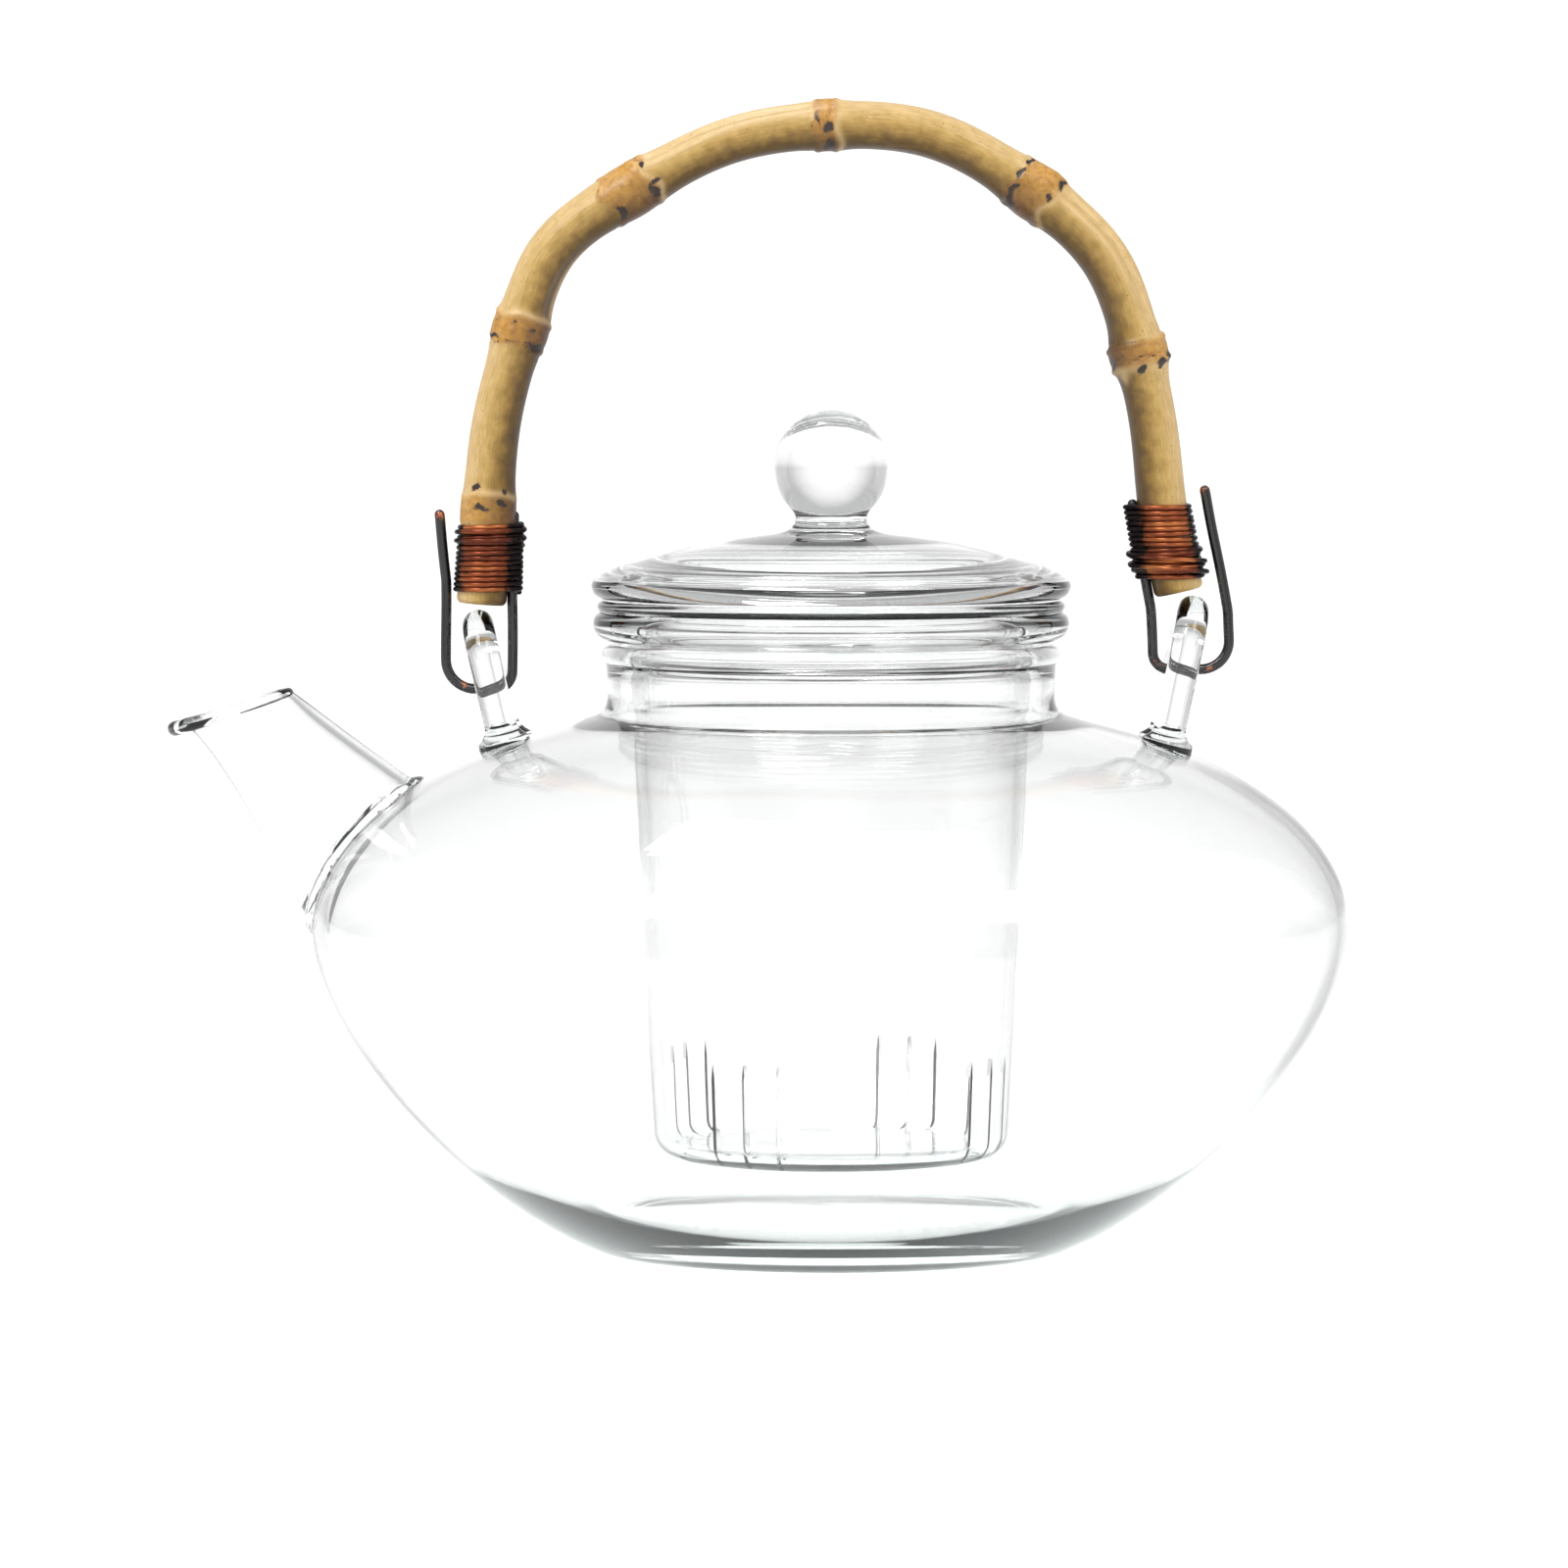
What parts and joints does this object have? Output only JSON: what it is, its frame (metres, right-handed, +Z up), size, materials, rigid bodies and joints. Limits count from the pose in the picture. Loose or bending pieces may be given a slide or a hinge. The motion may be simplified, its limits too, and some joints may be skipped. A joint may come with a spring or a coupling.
{
  "type": "glass teapot",
  "caption": "Round clear glass teapot with a pouring spout, lift-out slotted glass infuser, ball-knobbed glass lid and a swinging bamboo bail handle.",
  "frame": {"origin": "centre of the foot ring, on the surface the pot stands on", "axes": "+Z up along the pot's axis, spout towards -X, the handle's swing axis along X"},
  "size_m": [0.2036, 0.18, 0.1993],
  "materials": {
    "clear_glass": "clear blown borosilicate glass, fire polished",
    "bamboo": "varnished golden bamboo cane with darker nodes",
    "lacquered_wire": "black lacquered copper wire with bare copper tips",
    "binding_wire": "dark brown lacquered fine copper wire"
  },
  "bodies": {
    "pot": {"pot_body": "clear_glass", "pot_neck": "clear_glass", "spout": "clear_glass", "left_ear": "clear_glass", "right_ear": "clear_glass"},
    "infuser": {"infuser_cup": "clear_glass"},
    "lid": {"lid_dome": "clear_glass", "lid_skirt": "clear_glass", "lid_knob": "clear_glass"},
    "handle": {"bamboo_handle": "bamboo", "left_hook_wire": "lacquered_wire", "right_hook_wire": "lacquered_wire", "left_binding_wire": "binding_wire", "right_binding_wire": "binding_wire"}
  },
  "joints": [
    {"name": "infuser_lift", "type": "slide", "parent": "pot", "child": "infuser", "axis": [0, 0, 1], "range_m": [0, 0.04]},
    {"name": "lid_lift", "type": "slide", "parent": "infuser", "child": "lid", "axis": [0, 0, 1], "range_m": [0, 0.04]},
    {"name": "handle_swing", "type": "hinge", "parent": "pot", "child": "handle", "pos_m": [0, 0, 0.0986], "axis": [1, 0, 0], "range_deg": [-88, 88]}
  ]
}
